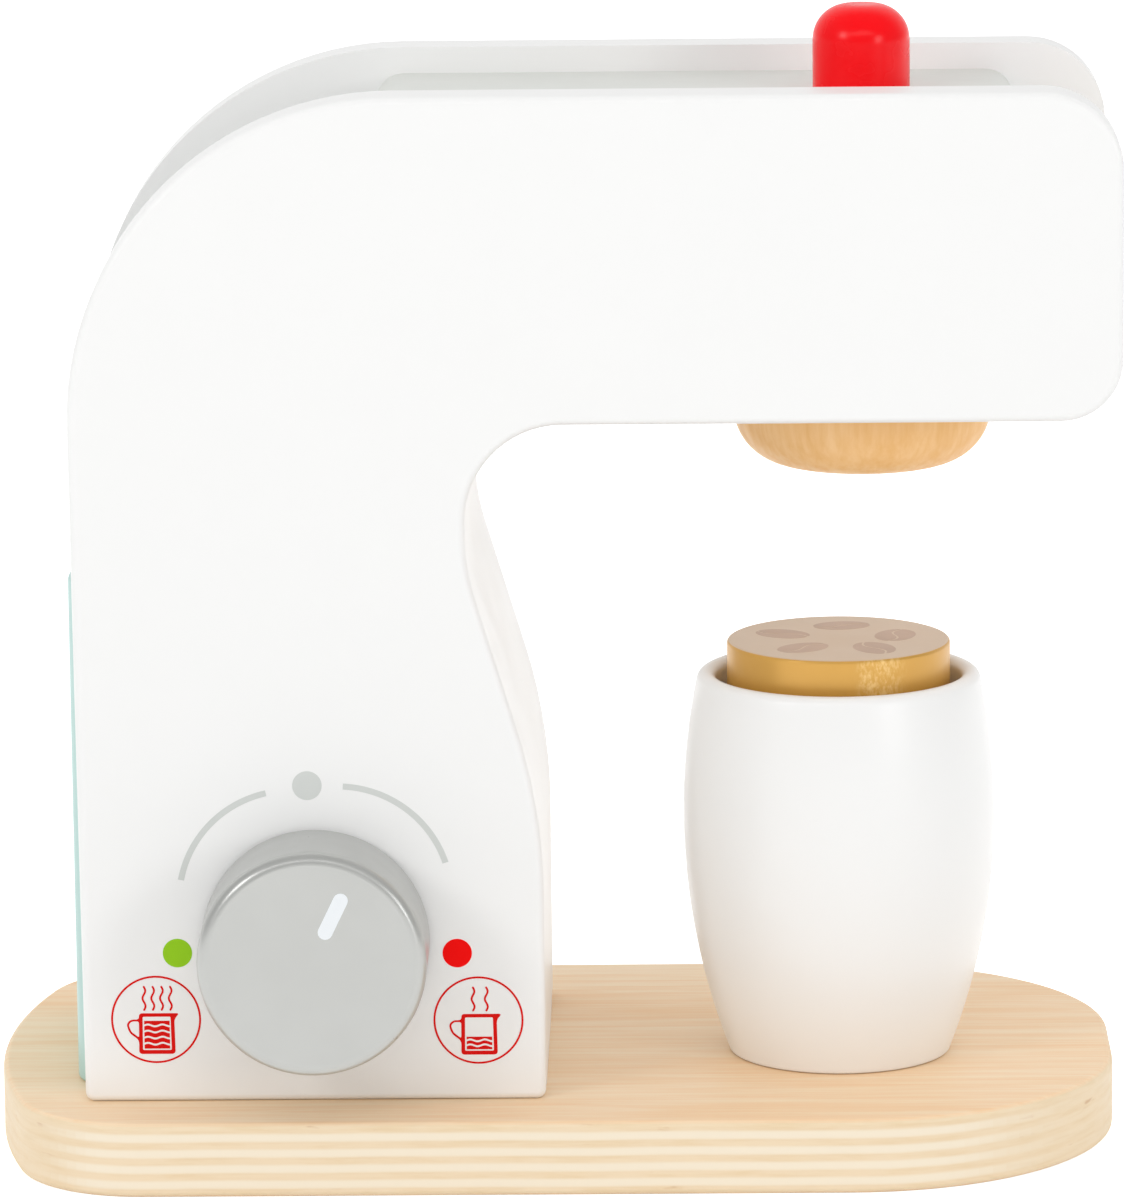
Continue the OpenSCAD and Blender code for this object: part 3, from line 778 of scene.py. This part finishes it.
ICON_R, ICON_LINE = 9.3, 0.42
DOT_R = 3.1
ARC_OUTER_R, ARC_INNER_R = 24.45, 23.15
MARKER_ENDS, MARKER_LINE = [(-46.7, 42.3), (-43.4, 49.1)], 3.1


def on_near_face(y):
    """Lays a drawing on a face that looks towards the knob side."""
    return Matrix(((1, 0, 0, 0), (0, 0, -1, y * MM), (0, 1, 0, BASE_T * MM), (0, 0, 0, 1)))


def drink(fill_top, waves):
    """The drink in a jug, up to fill_top, parted by wavy lines."""
    left, right, bottom = -2.55, 2.85, -6.35
    swing, turns, half_line = 0.2, 1.75, ICON_LINE / 2
    drop = (fill_top - bottom) / (waves + 0.55)
    outlines = []
    top = [(left, fill_top), (right, fill_top)]
    for i in range(waves):
        crest = wave(left, right, fill_top - (i + 0.75) * drop, swing, turns)
        outlines.append(top + [(x, y + half_line) for x, y in crest[::-1]])
        top = [(x, y - half_line) for x, y in crest]
    return outlines + [top + [(right, bottom), (left, bottom)]]


def steam_lines(count):
    """Upright wavy lines over a jug, side by side."""
    low, high, swing, turns = 2.1, 7.1, 0.3, 1.5
    middle, apart = 0.3, 1.85 if count > 2 else 2.8
    upright = [(x, y) for y, x in wave(low, high, 0, swing, turns)]
    places = (middle + (i - (count - 1) / 2) * apart for i in range(count))
    return [stroke([(at + x, y) for x, y in upright], ICON_LINE) for at in places]


def jug_icon(x, y, fill_top, waves, steam):
    """A jug in a ring: wavy drink up to fill_top, and this many lines of steam."""
    body = rounded([(-3.7, -7.5), (4.0, -7.5), (3.85, 0.1), (5.0, 1.35), (-3.6, 1.35),
                    (-3.62, 0.0), (-5.4, 0.0), (-6.3, -1.0), (-5.7, -2.9), (-3.66, -4.5)], 0.8)
    handle_hole = rounded([(-3.64, -0.4), (-5.2, -0.4), (-5.85, -1.15), (-5.3, -2.65),
                           (-3.66, -3.95)], 0.5)
    inside = rounded([(-2.85, 0.6), (3.05, 0.6), (3.2, -6.65), (-2.9, -6.65)], 0.3)
    ring = [disc(0, 0, ICON_R + ICON_LINE / 2), disc(0, 0, ICON_R - ICON_LINE / 2)]
    outlines = [*ring, body, handle_hole, inside, *drink(fill_top, waves), *steam_lines(steam)]
    return [[(x + px, y + py) for px, py in outline] for outline in outlines]


near_face = on_near_face(PANEL_FACE_Y)
for name, outlines, material, slot in (
        ("icon_full_jug", jug_icon(-83.8, 18.0, fill_top=-0.3, waves=4, steam=4),
         red_ink, "red_paint"),
        ("icon_low_jug", jug_icon(-15.7, 17.4, fill_top=-3.6, waves=2, steam=2),
         red_ink, "red_paint"),
        ("dot_green", [disc(-79.0, 32.4, DOT_R)], dot_green, "white_paint"),
        ("dot_red", [disc(-20.0, 32.0, DOT_R)], dot_red, "red_paint"),
        ("dot_grey", [disc(-51.1, 68.4, DOT_R)], grey_ink, "silver_paint")):
    film(name, outlines, material, "machine", near_face)
for name, x, y, start, end in (("arc_left", -54.6, 43.6, 102.6, 168.8),
                               ("arc_right", -44.9, 44.4, 17.6, 86.8)):
    bow = arc_points(x, y, ARC_OUTER_R, start, end) + arc_points(x, y, ARC_INNER_R, end, start)
    film(name, [bow], grey_ink, "machine", near_face)
film("knob_marker", [stroke(MARKER_ENDS, MARKER_LINE)], marker_ink, "knob",
     on_near_face(KNOB_FACE_Y))


# ---- coffee beans on the pod's top ----

BEAN_LONG, BEAN_WIDE, BEAN_SPLIT = 12.4, 8.6, 0.5


def bean(x, y, turn):
    """The two halves of a bean, parted by a curved split."""
    a, b, tip = BEAN_LONG / 2, BEAN_WIDE / 2, math.degrees(0.2)
    bow = 0.28 * b
    halves = []
    for side in (1, -1):
        back = [(px, side * (bow * math.sin(side * math.pi * px / a) + BEAN_SPLIT / 2))
                for px in (a * math.cos(math.radians(tip)) * (i / 10 - 1) for i in range(21))]
        rim = [(a * px, side * b * py) for px, py in arc_points(0, 0, 1, tip, 180 - tip, 24)]
        halves.append(rim + back)
    c, s = math.cos(math.radians(turn)), math.sin(math.radians(turn))
    return [[(x + c * px - s * py, y + s * px + c * py) for px, py in half] for half in halves]


beans = []
for angle, radius, turn in ((12, 12.5, 75), (86, 13.2, 10), (158, 12.8, 150), (232, 12.6, 40),
                            (305, 13.0, 110)):
    middle = arc_points(0, 0, radius, angle, angle, 1)[0]
    beans += bean(*middle, turn)
film("pod_beans", beans, bean_ink, "pod",
     Matrix.Translation((POD_AXIS[0] * MM, POD_AXIS[1] * MM, POD_TOP_Z * MM)))


# ---- studio ----

# The room's light: its strength in front, in front as gloss mirrors it, and behind, and how
# much farther back its bright part starts for gloss.
DIM_FRONT, DIM_GLOSS, BRIGHT_BACK, GLOSS_SHIFT = 0.6, 0.25, 0.92, 0.85
DIM_UP_TO, BRIGHT_FROM = -0.8, -0.15
FLOOR_HALF, FLOOR_GLOW = 6.0, 0.75
PART_MIDDLE, PART_WAIST = (0, 0, 0.12), (0, 0, 0.1)


def lamp(name, place, aim, size, power):
    """A soft box: its place and size in metres, its power in watts."""
    light = bpy.data.lights.new(name, "AREA")
    light.shape, light.size, light.size_y = "RECTANGLE", size[0], size[1]
    light.energy = power
    thing = put_in_scene(name, light)
    thing.location = place
    thing.rotation_euler = (Vector(aim) - Vector(place)).to_track_quat("-Z", "Y").to_euler()


def studio_floor():
    """A pale floor that meets the white backdrop unseen and keeps the part's shadow."""
    mesh = bpy.data.meshes.new("studio_floor")
    h = FLOOR_HALF
    mesh.from_pydata([(-h, -h, 0), (h, -h, 0), (h, h, 0), (-h, h, 0)], [], [(0, 1, 2, 3)])
    floor = put_in_scene("studio_floor", mesh)
    finish = Finish("pale_floor", Roughness=0.9)
    finish.shader.inputs["Base Color"].default_value = FLOOR_TONE
    finish.shader.inputs["Emission Color"].default_value = (1, 1, 1, 1)
    path = finish.node("ShaderNodeLightPath").outputs
    seen = finish.math("MAXIMUM", path["Is Camera Ray"], path["Is Glossy Ray"])
    finish.feed(finish.shader.inputs["Emission Strength"],
                finish.math("MULTIPLY", seen, FLOOR_GLOW))
    mesh.materials.append(finish.material)


def backdrop_world():
    """White as seen, and as light bright behind and at the sides, dim on the camera's side.
    Glossy paint also mirrors a dim ceiling, which draws the edges of round parts."""
    world = bpy.data.worlds.new("white_backdrop")
    world.use_nodes = True
    bpy.context.scene.world = world
    sheet = Sheet(world.node_tree)
    background = world.node_tree.nodes["Background"]
    path = sheet.node("ShaderNodeLightPath").outputs
    gloss = path["Is Glossy Ray"]
    towards_back = sheet.axes(sheet.node("ShaderNodeTexCoord").outputs["Generated"])[Y]
    depth = sheet.math("MULTIPLY_ADD", gloss, -GLOSS_SHIFT, towards_back)
    front = sheet.math("MULTIPLY_ADD", gloss, DIM_GLOSS - DIM_FRONT, DIM_FRONT)
    light = sheet.span(depth, DIM_UP_TO, BRIGHT_FROM, front, BRIGHT_BACK)
    white = sheet.math("MAXIMUM", path["Is Camera Ray"], path["Is Transmission Ray"])
    background.inputs["Color"].default_value = (1, 1, 1, 1)
    sheet.feed(background.inputs["Strength"], sheet.math("MAXIMUM", light, white))


def studio_camera():
    """The camera's place, turn and lens, in metres and degrees."""
    yaw, pitch, roll = (math.radians(a) for a in (-0.7725, 11.592, -0.5644))
    place = (0.03041, -1.70004, 0.45884)
    focal_px, long_side_px = 8064.7, 1200
    centre_px, frame_px = (587.534, 615.941), (1124, 1200)
    data = bpy.data.cameras.new("camera")
    data.sensor_width = 36
    data.lens = focal_px / long_side_px * data.sensor_width
    data.shift_x = -(centre_px[0] - frame_px[0] / 2) / long_side_px
    data.shift_y = (centre_px[1] - frame_px[1] / 2) / long_side_px
    data.clip_start, data.clip_end = 0.05, 50
    camera = put_in_scene("camera", data)
    ahead = Vector((math.sin(yaw) * math.cos(pitch), math.cos(yaw) * math.cos(pitch),
                    -math.sin(pitch)))
    turn = ahead.to_track_quat("-Z", "Y").to_matrix().to_4x4() @ Matrix.Rotation(roll, 4, "Z")
    camera.matrix_world = Matrix.Translation(place) @ turn
    bpy.context.scene.camera = camera


studio_camera()
studio_floor()
backdrop_world()
lamp("left_softbox", (-1.3, -1.3, 0.95), PART_MIDDLE, size=(0.5, 0.5), power=6.6)
lamp("right_softbox", (1.25, -1.35, 0.5), PART_MIDDLE, size=(0.45, 0.6), power=4.6)
lamp("top_softbox", (0, -1.5, 1.15), PART_WAIST, size=(1.7, 0.25), power=3.6)
bpy.context.scene.view_settings.view_transform = "Standard"
